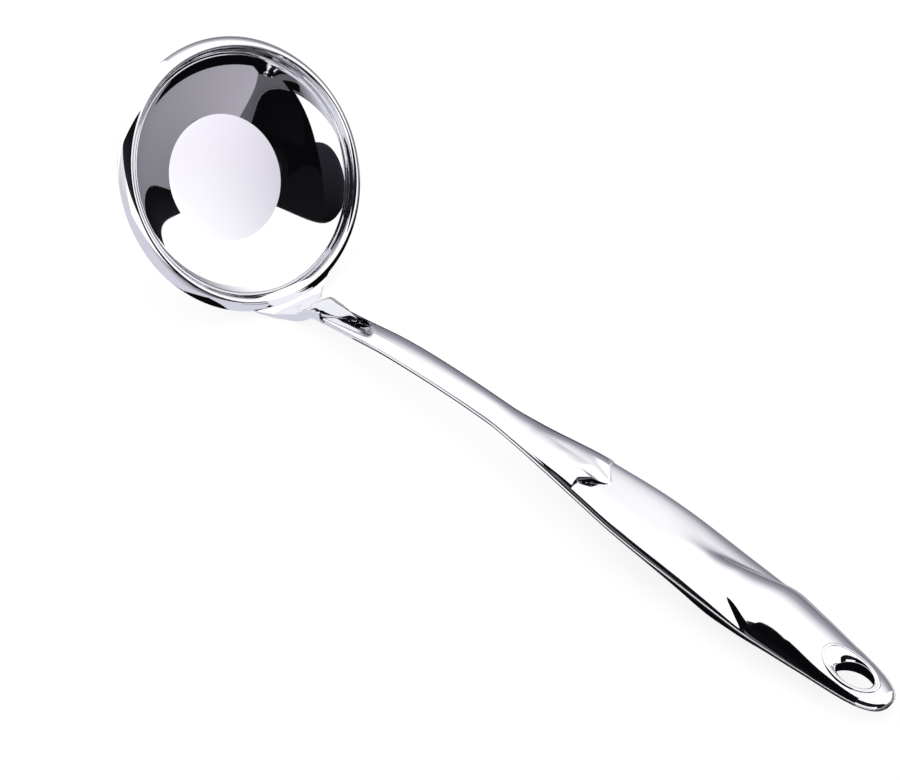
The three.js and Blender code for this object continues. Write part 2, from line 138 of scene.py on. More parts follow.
class Path:
    """Smooth line through points in the plane of symmetry, measured by its length."""

    def __init__(self, points: np.ndarray, samples: int = 400) -> None:
        """Lay a centripetal spline through the points and measure it.

        Args:
            points: Points (x, z) in millimetres.
            samples: Samples on each stretch between two points.
        """
        p = np.vstack([2 * points[0] - points[1], points, 2 * points[-1] - points[-2]])
        line = []
        for i in range(1, len(p) - 2):
            d0, d1, d2 = (math.sqrt(np.linalg.norm(p[i + k] - p[i + k - 1])) for k in (0, 1, 2))
            m1 = (p[i] - p[i - 1]) / d0 - (p[i + 1] - p[i - 1]) / (d0 + d1) + (p[i + 1] - p[i]) / d1
            m2 = (p[i + 1] - p[i]) / d1 - (p[i + 2] - p[i]) / (d1 + d2) + (p[i + 2] - p[i + 1]) / d2
            m1, m2 = m1 * d1, m2 * d1
            t = np.linspace(0.0, 1.0, samples, endpoint=i == len(p) - 3)[:, None]
            c2 = 3 * (p[i + 1] - p[i]) - 2 * m1 - m2
            c3 = 2 * (p[i] - p[i + 1]) + m1 + m2
            line.append(p[i] + t * (m1 + t * (c2 + t * c3)))
        self.points = np.vstack(line)
        step = np.linalg.norm(np.diff(self.points, axis=0), axis=1)
        self.reach = np.concatenate([[0.0], np.cumsum(step)])
        self.length = float(self.reach[-1])
        self.tangent = np.gradient(self.points, self.reach, axis=0)
        self.tangent /= np.linalg.norm(self.tangent, axis=1)[:, None]

    def frame(self, s: np.ndarray) -> tuple[np.ndarray, np.ndarray]:
        """Return points and directions on the line.

        Args:
            s: Distances along the line; outside its ends it runs on straight.

        Returns:
            The points and the unit directions, each with x and z in the last place.
        """
        inside = np.clip(s, 0.0, self.length)
        point = np.stack([np.interp(inside, self.reach, self.points[:, k]) for k in (0, 1)], -1)
        tangent = np.stack([np.interp(inside, self.reach, self.tangent[:, k]) for k in (0, 1)], -1)
        return point + tangent * (s - inside)[..., None], tangent


@dataclass(frozen=True)
class BowlForm:
    """Sizes and section of the drawn bowl, in millimetres.

    Attributes:
        rim_radius: Radius of the outer edge of the lip, which lies at level 0.
        lip_width: How far the lip rolls out.
        lip_rise: How far the lip stands above its outer edge.
        inside_depth: Depth from the top of the lip to the base.
        base_radius: Radius of the flat base.
        sheet: Thickness of the steel.
        crease_angle: How steeply the wall leaves the base, in degrees.
        wall_foot: How long the wall keeps that slope, as a share of its reach.
        wall_top: Where the wall bends up, as shares of the lip's width and of the depth.
        lip_foot: Where the lip begins, as shares of its width and rise.
        lip_bends: Control points of the roll, as shares of the lip's width and rise.
    """

    rim_radius: float = 45.0
    lip_width: float = 3.6
    lip_rise: float = 3.8
    inside_depth: float = 15.0
    base_radius: float = 21.0
    sheet: float = 1.3
    crease_angle: float = 24.0
    wall_foot: float = 0.66
    wall_top: tuple[float, float] = (-0.1, 0.47)
    lip_foot: tuple[float, float] = (-0.16, 0.55)
    lip_bends: tuple[tuple[float, float], ...] = ((-0.14, 1.1), (0.62, 1.14))

    @property
    def base_level(self) -> float:
        """Return the level of the base, below the edge of the lip."""
        return self.lip_rise - self.inside_depth

    @property
    def crest_radius(self) -> float:
        """Return the radius from which the lip rolls out."""
        return self.rim_radius - self.lip_width

    def lip_point(self, out: float, up: float) -> tuple[float, float]:
        """Return a point (radius, level) from shares of the lip's width and rise."""
        return (self.crest_radius + self.lip_width * out, self.lip_rise * up)

    def inner_line(self, base_steps: int = 13, wall_steps: int = 60, lip_steps: int = 40) -> np.ndarray:
        """Return the inner line from the middle of the base to the edge of the lip.

        Args:
            base_steps: Stretches on the base.
            wall_steps: Stretches on the wall.
            lip_steps: Stretches on the lip.

        Returns:
            Points (radius, level).
        """
        foot = self.wall_foot * (self.crest_radius - self.base_radius)
        climb = foot * math.tan(math.radians(self.crease_angle))
        out, up = self.wall_top
        top = self.lip_point(*self.lip_foot)
        wall = bezier([
            (self.base_radius, self.base_level),
            (self.base_radius + foot, self.base_level + climb),
            (self.crest_radius + self.lip_width * out, self.base_level + self.inside_depth * up),
            top,
        ], wall_steps)
        bends = [self.lip_point(*share) for share in self.lip_bends]
        lip = bezier([top, *bends, (self.rim_radius, 0.0)], lip_steps)
        radii = np.linspace(0.0, self.base_radius, base_steps, endpoint=False)
        base = np.stack([radii, np.full_like(radii, self.base_level)], -1)
        return np.vstack([base, wall, lip[1:]])


BOWL = BowlForm()


@dataclass(frozen=True)
class HandleForm:
    """Sizes and outer form of the hollow handle, in millimetres, shared by its shells, welds and eye.

    Distances along the handle count from the start of its line, and its mouth lies before that point.
    Shares across the handle are shares of its half width.
    """

    # Where the line of the handle starts: outside the rim and above it
    neck_setback: float = 11.3
    neck_rise: float = 32.5

    # Main sizes
    length: float = 226.0
    mouth: float = -11.0
    mouth_half_width: float = 4.6
    shaft_half_width: float = 5.0
    grip_half_width: float = 12.0
    shaft_half_height: float = 3.0
    grip_half_height: float = 6.0
    sheet: float = 0.9

    # The oval nose at the end: its length, its roundness, what is left of the width at the tip,
    # and how much less the height closes
    nose_length: float = 13.5
    nose_power: float = 2.6
    nose_left: float = 0.12
    nose_height_power: float = 0.6

    # The step of the crown, its bow in the shape of a petal, and where the bow comes and goes:
    # the start of each stretch from the step, and its length
    step_share: float = 0.489
    step_length: float = 0.9
    bow_reach: float = 7.5
    bow_comes: tuple[float, float] = (-25.0, 19.0)
    bow_goes: tuple[float, float] = (12.0, 22.0)
    petal_point: float = 0.05
    petal_half_width: float = 0.68

    # The hollow in the middle of the crown just before the step
    hollow_length: float = 9.0
    hollow_half_width: float = 0.4

    # The soft line where crown and pad meet: its rounding, where it begins and grows behind the step,
    # and how late it fades towards the sides
    meeting_round: float = 0.7
    meeting_start: float = 15.0
    meeting_length: float = 25.0
    meeting_power: float = 4.0

    # The tongue of the neck, its width as a share of the mouth's, and the slot round it
    tongue_length: float = 13.0
    tongue_share: float = 0.9
    tongue_taper: float = 0.85
    tongue_point: float = 0.25
    slot_gap: float = 0.2
    slot_point: float = 0.3
    slot_overrun: float = 6.0
    slot_end_length: float = 5.5
    slot_end_half_width: float = 2.3

    # The weld bead between neck and handle, and the clearance beside it
    bead: float = 1.1
    clearance: float = 0.3

    # Along the handle, by shares of its length: share of the width under the crown,
    # and how square pad and crown are across
    SPREAD = Knots([(0, 1), (0.6, 1), (0.67, 0.36), (0.72, 0.48), (0.765, 0.72), (0.82, 1)])
    FULLNESS = Knots([(0, 4), (0.575, 4), (0.73, 2.6)])
    ARCH = Knots([(0, 2), (0.4, 2), (0.485, 2.6), (0.6, 2)])

    @property
    def step(self) -> float:
        """Return where the step of the crown lies along the handle."""
        return self.step_share * self.length

    @property
    def tongue_end(self) -> float:
        """Return where the tongue ends along the handle."""
        return self.mouth + self.tongue_length

    @property
    def slot_end(self) -> float:
        """Return where the slot round the tongue ends along the handle."""
        return self.tongue_end + self.slot_overrun

    @cached_property
    def line(self) -> Path:
        """Return the middle line of the handle in the plane of symmetry.

        Returns:
            The line, from its start above the neck.
        """
        shares = np.array([
            (0, 0), (0.0385, 0.0863), (0.1049, 0.2058), (0.1823, 0.3274), (0.2527, 0.4345),
            (0.3367, 0.5553), (0.419, 0.6704), (0.4898, 0.769), (0.5429, 0.8398),
        ])
        start = np.array([BOWL.rim_radius + self.neck_setback, self.neck_rise])
        return Path(start + shares * self.length)

    @cached_property
    def width(self) -> Knots:
        """Return half the width along the handle, by shares of its length."""
        shaft, grip = self.shaft_half_width, self.grip_half_width
        return Knots([
            (0, self.mouth_half_width), (0.133, shaft), (0.305, shaft * 0.99), (0.367, grip * 0.5),
            (0.429, grip * 0.63), (0.504, grip * 0.8), (0.58, grip * 0.94), (0.65, grip * 0.985),
            (0.79, grip * 0.99), (0.858, grip * 0.89), (0.916, grip * 0.765), (1, grip * 0.6),
        ])

    @cached_property
    def crown(self) -> Knots:
        """Return the height of the crown along the handle, by shares of its length."""
        shaft, grip = self.shaft_half_height, self.grip_half_height
        half_step = self.step_length / self.length / 2
        return Knots([
            (0, shaft), (0.305, shaft * 1.07), (0.367, grip * 0.67), (0.425, grip * 0.9),
            (self.step_share - half_step, grip * 0.96), (self.step_share + half_step, grip * 0.43),
            (0.6, grip * 0.45), (0.686, grip * 0.62), (0.743, grip * 0.98), (0.796, grip * 1.2),
            (0.858, grip * 0.95), (0.92, grip * 0.58), (1, grip * 0.38),
        ])

    @cached_property
    def pad(self) -> Knots:
        """Return the height of the flat pad beside the crown, by shares of the length."""
        shaft, grip = self.shaft_half_height, self.grip_half_height
        return Knots([
            (0, shaft * 0.43), (0.376, grip * 0.33), (0.434, grip * 0.45), (self.step_share, grip * 0.58),
            (0.686, grip * 0.58), (0.735, grip * 0.53), (0.779, grip * 0.42), (0.84, grip * 0.3),
            (1, grip * 0.17),
        ])

    @cached_property
    def belly(self) -> Knots:
        """Return the depth of the underside along the handle, by shares of its length."""
        shaft, grip = self.shaft_half_height, self.grip_half_height
        return Knots([
            (0, shaft), (0.305, shaft * 0.97), (0.429, grip * 0.63), (0.504, grip * 0.67),
            (0.62, grip * 0.77), (0.686, grip * 1.1), (0.743, grip * 1.45), (0.796, grip * 1.13),
            (0.84, grip * 0.82), (0.92, grip * 0.58), (1, grip * 0.43),
        ])

    def nose(self, s: np.ndarray) -> np.ndarray:
        """Return how open the oval nose still is at each distance, from 1 down to a small rest."""
        q = np.clip((s - self.length + self.nose_length) / self.nose_length, 0.0, 1.0)
        return np.maximum((1.0 - q**self.nose_power) ** (1.0 / self.nose_power), self.nose_left)

    def half_width(self, s: np.ndarray) -> np.ndarray:
        """Return half the width of the handle at each distance."""
        return self.width.at(s / self.length) * self.nose(s)

    def step_bow(self, s: np.ndarray, across: np.ndarray) -> np.ndarray:
        """Return how far the step of the crown bows towards the end of the handle.

        Args:
            s: Distances along the handle.
            across: Distances to the side, as shares of the half width.

        Returns:
            Shifts along the handle, none of them far from the step.
        """
        comes, goes = (ease((s - self.step - start) / run) for start, run in (self.bow_comes, self.bow_goes))
        petal = np.minimum(np.hypot(across, self.petal_point) / self.petal_half_width, 1.0)
        return self.bow_reach * comes * (1.0 - goes) * (1.0 - petal)

    def height(self, side: Side, s: np.ndarray, y: np.ndarray) -> np.ndarray:
        """Return how far the outer face stands from the seam.

        Args:
            side: Upper or lower half of the handle.
            s: Distances along the handle.
            y: Distances to the side.

        Returns:
            Heights above the seam, or depths below it.
        """
        share = s / self.length
        shrink = self.nose(s) ** self.nose_height_power
        across = np.minimum(np.abs(y) / self.half_width(s), 1.0)
        if side is Side.LOWER:
            return self.belly.at(share) * shrink * np.sqrt(1.0 - across * across)
        full = self.FULLNESS.at(share)
        pad = self.pad.at(share) * (1.0 - across**full) ** (1.0 / full)
        behind = s - self.step_bow(s, across) - self.step
        spread = np.minimum(across / self.SPREAD.at(share), 1.0)
        arch = self.ARCH.at(share)
        crown = self.crown.at(self.step_share + behind / self.length) * (1.0 - spread**arch) ** (1.0 / arch)
        near_step = np.clip(1.0 + behind / self.hollow_length, 0.0, 1.0) ** 2
        near_middle = np.clip(1.0 - (across / self.hollow_half_width) ** 2, 0.0, 1.0)
        hollow = near_step * near_middle * (behind < self.step_length)
        crown = crown - hollow * np.maximum(crown - pad, 0.0)
        grown = np.clip((behind - self.meeting_start) / self.meeting_length, 0.0, 1.0)
        soft = self.meeting_round * (1.0 - across**self.meeting_power) * grown
        return shrink * (crown + pad + np.hypot(crown - pad, soft)) / 2.0

    def tongue_half_width(self, s: np.ndarray) -> np.ndarray:
        """Return half the width of the neck's tongue at each distance.

        Args:
            s: Distances along the handle.

        Returns:
            Half widths, down to the blunt point.
        """
        t = np.clip((s - self.mouth) / self.tongue_length, 0.0, 1.0)
        taper = self.mouth_half_width * self.tongue_share * (1.0 - t) ** self.tongue_taper
        return np.maximum(taper, self.tongue_point)

    def slot_half_width(self, s: np.ndarray) -> np.ndarray:
        """Return half the width of the slot round the tongue, which has a round end.

        Args:
            s: Distances along the handle.

        Returns:
            Half widths.
        """
        snug = np.where(s < self.tongue_end, self.tongue_half_width(s) + self.slot_gap, self.slot_point)
        t = 1.0 - (self.slot_end - s) / self.slot_end_length
        return np.maximum(snug, self.slot_end_half_width * np.sqrt(np.maximum(1.0 - t * t, 0.0)))

    def place(self, s: np.ndarray | float, y: np.ndarray, n: np.ndarray | float) -> np.ndarray:
        """Return points of the rim frame.

        Args:
            s: Distances along the handle.
            y: Distances to the side.
            n: Distances above the middle of the handle.

        Returns:
            Points (x, y, z) in millimetres.
        """
        s, y, n = np.broadcast_arrays(*(np.asarray(v, dtype=float) for v in (s, y, n)))
        point, tangent = self.line.frame(s)
        x = point[..., 0] - tangent[..., 1] * n
        z = point[..., 1] + tangent[..., 0] * n
        return np.stack([x, y, z], -1)


HANDLE = HandleForm()


class Placement:
    """Carries points of the rim frame into the frame of the part."""

    def __init__(self, base_mount: dict) -> None:
        """Find how the ladle lies from the flat outer face of its base.

        Args:
            base_mount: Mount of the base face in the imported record.
        """
        x, _, z = base_mount["axis"]
        self.angle = math.atan2(-x, -z)
        self.shift = np.zeros(3)
        outer_base = np.array([0.0, 0.0, BOWL.base_level - BOWL.sheet])
        self.shift = np.array(base_mount["pos_m"]) - self.to_part(outer_base)
        LOG.info("lying angle %.2f degrees", math.degrees(self.angle))

    def turn(self, points: np.ndarray) -> np.ndarray:
        """Return directions of the rim frame as directions of the part's frame.

        Args:
            points: Directions (x, y, z).

        Returns:
            The turned directions, as long as before.
        """
        c, s = math.cos(self.angle), math.sin(self.angle)
        x = c * points[..., 0] + s * points[..., 2]
        z = -s * points[..., 0] + c * points[..., 2]
        return np.stack([x, points[..., 1], z], -1)

    def to_part(self, points: np.ndarray) -> np.ndarray:
        """Return points of the rim frame, given in millimetres, in the part's frame and in metres."""
        return self.turn(points) * MM + self.shift


def srgb(code: str) -> tuple[float, float, float, float]:
    """Return a linear colour for an sRGB hex code.

    Args:
        code: Two digits each for red, green and blue, as in "c0c2c8".

    Returns:
        Linear red, green and blue, and full cover.
    """
    channels = [int(code[i:i + 2], 16) / 255.0 for i in (0, 2, 4)]
    linear = [c / 12.92 if c <= 0.04045 else ((c + 0.055) / 1.055) ** 2.4 for c in channels]
    return (linear[0], linear[1], linear[2], 1.0)


def add_node(tree: bpy.types.NodeTree, kind: str, links: dict | None = None, **settings) -> bpy.types.Node:
    """Add a node, set its values and link its inputs.

    Args:
        tree: Tree that gets the node.
        kind: Type of the node.
        links: Input name or index with the output socket that feeds it.
        **settings: Node properties, or a dict named values with input values.

    Returns:
        The new node.
    """
    node = tree.nodes.new(kind)
    for key, value in settings.pop("values", {}).items():
        node.inputs[key].default_value = value
    for key, value in settings.items():
        setattr(node, key, value)
    for key, socket in (links or {}).items():
        tree.links.new(socket, node.inputs[key])
    return node


def empty_material(name: str) -> bpy.types.Material:
    """Return a new material whose node tree is still empty.

    Args:
        name: Name of the material.

    Returns:
        The material, ready for its nodes.
    """
    material = bpy.data.materials.new(name)
    material.use_nodes = True
    material.node_tree.nodes.clear()
    return material


def add_object(name: str, mesh: bpy.types.Mesh, material: bpy.types.Material) -> bpy.types.Object:
    """Dress a mesh and link it to the scene.

    Args:
        name: Name of the object.
        mesh: Its mesh.
        material: Its surface.

    Returns:
        The new object.
    """
    mesh.materials.append(material)
    obj = bpy.data.objects.new(name, mesh)
    bpy.context.scene.collection.objects.link(obj)
    return obj


@dataclass(frozen=True)
class SteelFinish:
    """A polished steel surface.

    Attributes:
        name: Name of the material and of the process that made its surface.
        colour: Hex code of the reflected tint.
        roughness: Middle roughness of the polish.
        haze: How much the roughness varies over the buffing marks.
        grain_mm: Length of the buffing marks.
        relief_mm: Depth of the slight waves of the surface; a mirror finish has none.
        wave_mm: Width of those waves.
        streak: How many times finer the buffing marks are across than along the ladle.
    """

    name: str
    colour: str
    roughness: float
    haze: float
    grain_mm: float
    relief_mm: float = 0.0
    wave_mm: float = 22.0
    streak: float = 9.0

    def build(self) -> bpy.types.Material:
        """Return the material with its node tree.

        Returns:
            A metal with buffing marks and slight waves.
        """
        material = empty_material(self.name)
        tree = material.node_tree
        place = add_node(tree, "ShaderNodeTexCoord")
        # Buffing marks: long fine streaks that change the gloss a little, seen as a soft haze
        stretch = add_node(tree, "ShaderNodeMapping", {"Vector": place.outputs["Object"]},
                           values={"Scale": (1.0, self.streak, self.streak)})
        marks = add_node(tree, "ShaderNodeTexNoise", {"Vector": stretch.outputs[0]},
                         values={"Scale": 1.0 / (self.grain_mm * MM), "Detail": 4.0, "Roughness": 0.6})
        gloss = add_node(tree, "ShaderNodeMapRange", {"Value": marks.outputs["Fac"]},
                         values={"To Min": max(self.roughness - self.haze, 0.0),
                                 "To Max": self.roughness + self.haze})
        # Waves left by the grinding wheel: far wider than deep, they bend reflections slightly
        waves = add_node(tree, "ShaderNodeTexNoise", {"Vector": place.outputs["Object"]},
                         values={"Scale": 1.0 / (self.wave_mm * MM), "Detail": 1.0})
        relief = add_node(tree, "ShaderNodeBump", {"Height": waves.outputs["Fac"]},
                          values={"Strength": 1.0, "Distance": self.relief_mm * MM})
        steel = add_node(tree, "ShaderNodeBsdfPrincipled",
                         {"Roughness": gloss.outputs[0], "Normal": relief.outputs[0]},
                         values={"Base Color": srgb(self.colour), "Metallic": 1.0})
        add_node(tree, "ShaderNodeOutputMaterial", {"Surface": steel.outputs[0]})
        return material


# Stainless sheet, deep drawn and buffed: a cool mirror with crisp edges between black and white
MIRROR_BOWL = SteelFinish("drawn_steel_mirror_buffed", "e6e6ea", 0.03, 0.02, 6.0)
# Stainless sheet, pressed and buffed: the same mirror with a little more haze
MIRROR_HANDLE = SteelFinish("pressed_steel_mirror_buffed", "e6e6ea", 0.05, 0.025, 6.0)
# Weld metal, ground flush: a satin line along the seams, slightly darker than the sheet
GROUND_WELD = SteelFinish("weld_steel_ground_flush", "dcdce0", 0.16, 0.05, 2.0, relief_mm=0.02)


def grid_faces(rows: int, columns: int, wrap_u: bool = False, wrap_v: bool = False,
               start: int = 0) -> list[tuple[int, ...]]:
    """Return the four-sided faces of a grid of points.

    Args:
        rows: Rows of the grid.
        columns: Columns of the grid.
        wrap_u: Whether the last row joins the first.
        wrap_v: Whether the last column joins the first.
        start: Index of the first point.

    Returns:
        The indices of the points of each face.
    """
    faces = []
    for i in range(rows if wrap_u else rows - 1):
        for j in range(columns if wrap_v else columns - 1):
            a, b = start + i * columns, start + ((i + 1) % rows) * columns
            k = (j + 1) % columns
            faces.append((a + j, a + k, b + k, b + j))
    return faces


class Piece:
    """A piece of the ladle: turns grids of points into a mesh object."""

    def __init__(self, name: str, place: Placement) -> None:
        """Start an empty piece.

        Args:
            name: Name of the object.
            place: How the rim frame lies in the part's frame.
        """
        self.name = name
        self.place = place
        self.points: list[np.ndarray] = []
        self.faces: list[tuple[int, ...]] = []

    def add_grid(self, grid: np.ndarray, wrap_u: bool = False, wrap_v: bool = False) -> int:
        """Add a sheet of four-sided faces.

        Args:
            grid: Points in rows and columns, in the rim frame.
            wrap_u: Whether the last row joins the first.
            wrap_v: Whether the last column joins the first.

        Returns:
            Index of the first point of the grid.
        """
        start = sum(len(p) for p in self.points)
        self.points.append(grid.reshape(-1, 3))
        self.faces += grid_faces(*grid.shape[:2], wrap_u, wrap_v, start)
        return start

    def add_tube(self, rings: np.ndarray) -> None:
        """Add a tube of rings, with a face over its first and its last ring.

        Args:
            rings: Points of the rings in rows, in the rim frame.
        """
        count = rings.shape[1]
        first = self.add_grid(rings, wrap_v=True)
        last = first + (len(rings) - 1) * count
        self.faces.append(tuple(range(first, first + count))[::-1])
        self.faces.append(tuple(range(last, last + count)))

    def to_object(self, material: bpy.types.Material) -> bpy.types.Object:
        """Return the finished object, linked to the scene.

        Args:
            material: Its surface.

        Returns:
            A mesh object in metres.
        """
        mesh = bpy.data.meshes.new(self.name)
        mesh.from_pydata(self.place.to_part(np.vstack(self.points)).tolist(), [], self.faces)
        mesh.validate()
        LOG.info("%s: %d points, %d faces", self.name, len(mesh.vertices), len(mesh.polygons))
        return add_object(self.name, mesh, material)

    @staticmethod
    def run_modifiers(obj: bpy.types.Object) -> None:
        """Replace the mesh of an object by what its modifiers make of it.

        Args:
            obj: Object that loses its modifiers.
        """
        graph = bpy.context.evaluated_depsgraph_get()
        baked = bpy.data.meshes.new_from_object(obj.evaluated_get(graph))
        obj.modifiers.clear()
        old = obj.data
        obj.data = baked
        bpy.data.meshes.remove(old)

    @staticmethod
    def shade(obj: bpy.types.Object, crease: float = 40.0) -> None:
        """Shade smooth, with edges kept sharp where faces meet at more than the crease angle."""
        obj.data.shade_smooth()
        obj.data.set_sharp_from_angle(angle=math.radians(crease))

    @staticmethod
    def cut(obj: bpy.types.Object, tool: bpy.types.Object) -> None:
        """Take one object out of another.

        Args:
            obj: Object that loses material.
            tool: Closed object that is removed afterwards.
        """
        knife = obj.modifiers.new("cut", "BOOLEAN")
        knife.operation = "DIFFERENCE"
        knife.solver = "EXACT"
        knife.object = tool
        Piece.run_modifiers(obj)
        bpy.data.objects.remove(tool)

    @staticmethod
    def hand_over(obj: bpy.types.Object, slot: Slot, node: str) -> None:
        """Tell the frame what a piece rides on and which solid it stands for.

        Args:
            obj: The finished piece.
            slot: Not used.
            node: Name of the solid.
        """
        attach(obj, "root")
        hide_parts(node)


@dataclass
class BowlAssembly:
    """The drawn bowl with its lip, and the neck with its tongue; sizes in millimetres."""

    place: Placement
    finish: bpy.types.Material
    bowl: BowlForm = BOWL
    handle: HandleForm = HANDLE

    # Stretches round the rim and on the lip's edge, and the angle from which an edge of the bowl stays sharp
    turns: int = 288
    edge_steps: int = 8
    base_crease: float = 20.0

    # Neck at the lip, and the first points of its line, outwards and upwards from the lip
    neck_half_width: float = 20.0
    neck_sheet: float = 1.0
    neck_route: tuple[tuple[float, float], ...] = (
        (-3.1, -0.85), (-1.9, -1.15), (-0.4, -1.7), (1.3, -0.6), (2.9, 2.6), (4.3, 7.7))

    # Share of the neck from which it turns into the line of the handle, how round its top is against
    # its underside, the least share of its thickness at the sides, and how closely its droop keeps to them
    neck_joins: float = 0.7
    neck_top: float = 0.3
    neck_edge: float = 0.1
    sag_power: float = 2.5
    neck_rings: int = 120
    neck_steps: int = 61

    # Tongue: its sheet, and how round it is across against the shaft
    tongue_sheet: float = 0.9
    tongue_arch: float = 0.3
    tongue_rings: int = 60
    tongue_steps: int = 25

    def revolve(self) -> np.ndarray:
        """Return the rings of the bowl, up its inner face, round the lip's edge and back outside.

        Returns:
            Points of the rim frame, a row for each ring.
        """
        inner = self.bowl.inner_line()
        step = np.gradient(inner, axis=0)
        step /= np.linalg.norm(step, axis=1)[:, None]
        normal = np.stack([step[:, 1], -step[:, 0]], -1)
        normal[inner[:, 0] < self.bowl.base_radius] = (0.0, -1.0)
        outer = inner + normal * self.bowl.sheet
        middle = (inner[-1] + outer[-1]) / 2.0
        half_sheet = self.bowl.sheet / 2.0
        rounded = [middle + half_sheet * (step[-1] * math.cos(a) - normal[-1] * math.sin(a))
                   for a in np.linspace(math.pi / 2, -math.pi / 2, self.edge_steps + 1)[1:-1]]
        section = np.vstack([inner[1:], np.array(rounded), outer[:0:-1]])
        turn = np.linspace(FULL_TURN, 0.0, self.turns, endpoint=False)
        radius, level = section[:, :1], section[:, 1:]
        return np.stack([radius * np.cos(turn), radius * np.sin(turn), level + 0.0 * turn], -1)

    def neck(self) -> np.ndarray:
        """Return the rings of the neck, from a wide thin sheet at the lip to an oval at the mouth.

        Returns:
            Points of the rim frame, a row for each ring.
        """
        handle, rim = self.handle, self.bowl.rim_radius
        wide, sheet, tall = self.neck_half_width, self.neck_sheet, handle.shaft_half_height
        end = handle.mouth - handle.clearance * 2 - handle.bead
        finish, heading = handle.line.frame(np.array([end - tall * 2, end]))
        route = np.array([rim, self.bowl.lip_rise]) + np.array(self.neck_route)
        line = Path(np.vstack([route, finish]))
        half = Knots([(0, wide), (0.06, wide * 0.93), (0.13, wide * 0.75), (0.22, wide * 0.51),
                      (0.36, wide * 0.37), (0.58, wide * 0.31), (0.8, wide * 0.26),
                      (1, handle.mouth_half_width)])
        thick = Knots([(0, sheet * 0.5), (0.15, sheet * 0.6), (0.36, sheet * 1.1), (0.58, tall * 0.57),
                       (0.8, tall * 0.87), (1, tall)])
        # How far the sides of the sheet droop, how far they follow the rim, and how oval the neck is
        sag = Knots([(0, 0), (0.06, -0.15), (0.13, -0.8), (0.22, -0.9), (0.36, -0.5), (0.6, -0.1),
                     (0.85, 0)])
        bend = Knots([(0, 1), (0.15, 1), (0.36, 0.6), (0.7, 0)])
        oval = Knots([(0.25, 0), (0.9, 1)])
        t = np.linspace(0.0, 1.0, self.neck_rings)[:, None]
        centre, tangent = line.frame(t[:, 0] * line.length)
        tangent = tangent + (heading[1] - tangent) * ease((t - self.neck_joins) / (1.0 - self.neck_joins))
        turn = np.linspace(0.0, math.pi, self.neck_steps)
        v = np.concatenate([-np.cos(turn), np.cos(turn)])
        side = np.repeat([1.0, -1.0], self.neck_steps)
        y = half.at(t) * v
        back = bend.at(t) * (rim - np.sqrt(rim**2 - y**2))
        round_off = np.where(side > 0.0, self.neck_top, 1.0) * oval.at(t)
        rounding = 1.0 + (np.maximum(np.sqrt(1.0 - v**2), self.neck_edge) - 1.0) * round_off
        lift = sag.at(t) * np.abs(v) ** self.sag_power + side * thick.at(t) * rounding
        x = centre[:, :1] - tangent[:, 1:] * lift - back
        z = centre[:, 1:] + tangent[:, :1] * lift
        return np.stack([x, y, z], -1)

    def tongue(self) -> np.ndarray:
        """Return the rings of the pointed tongue that lies over the shaft.

        Returns:
            Points of the rim frame, a row for each ring.
        """
        handle = self.handle
        start = handle.mouth - handle.clearance * 4 - handle.bead
        s = np.linspace(start, handle.tongue_end, self.tongue_rings)[:, None]
        v = np.linspace(-1.0, 1.0, self.tongue_steps)
        y = handle.tongue_half_width(s) * np.concatenate([v, v[::-1]])
        under = np.repeat([0.0, 1.0], self.tongue_steps)
        drop = self.tongue_arch * (1.0 - np.sqrt(1.0 - (y / handle.mouth_half_width) ** 2))
        return handle.place(s, y, handle.shaft_half_height * (1.0 - drop) - under * self.tongue_sheet)

    def build(self) -> None:
        """Make the bowl and its neck and hand them to the frame."""
        drawn = Piece("bowl", self.place)
        drawn.add_tube(self.revolve())
        bowl = drawn.to_object(self.finish)
        Piece.shade(bowl, self.base_crease)
        forged = Piece("neck_and_tongue", self.place)
        for rings in (self.neck(), self.tongue()):
            forged.add_tube(rings[:, ::-1])
        neck = forged.to_object(self.finish)
        Piece.shade(neck)
        for obj in (bowl, neck):
            Piece.hand_over(obj, Slot.BOWL, "ladle_bowl")


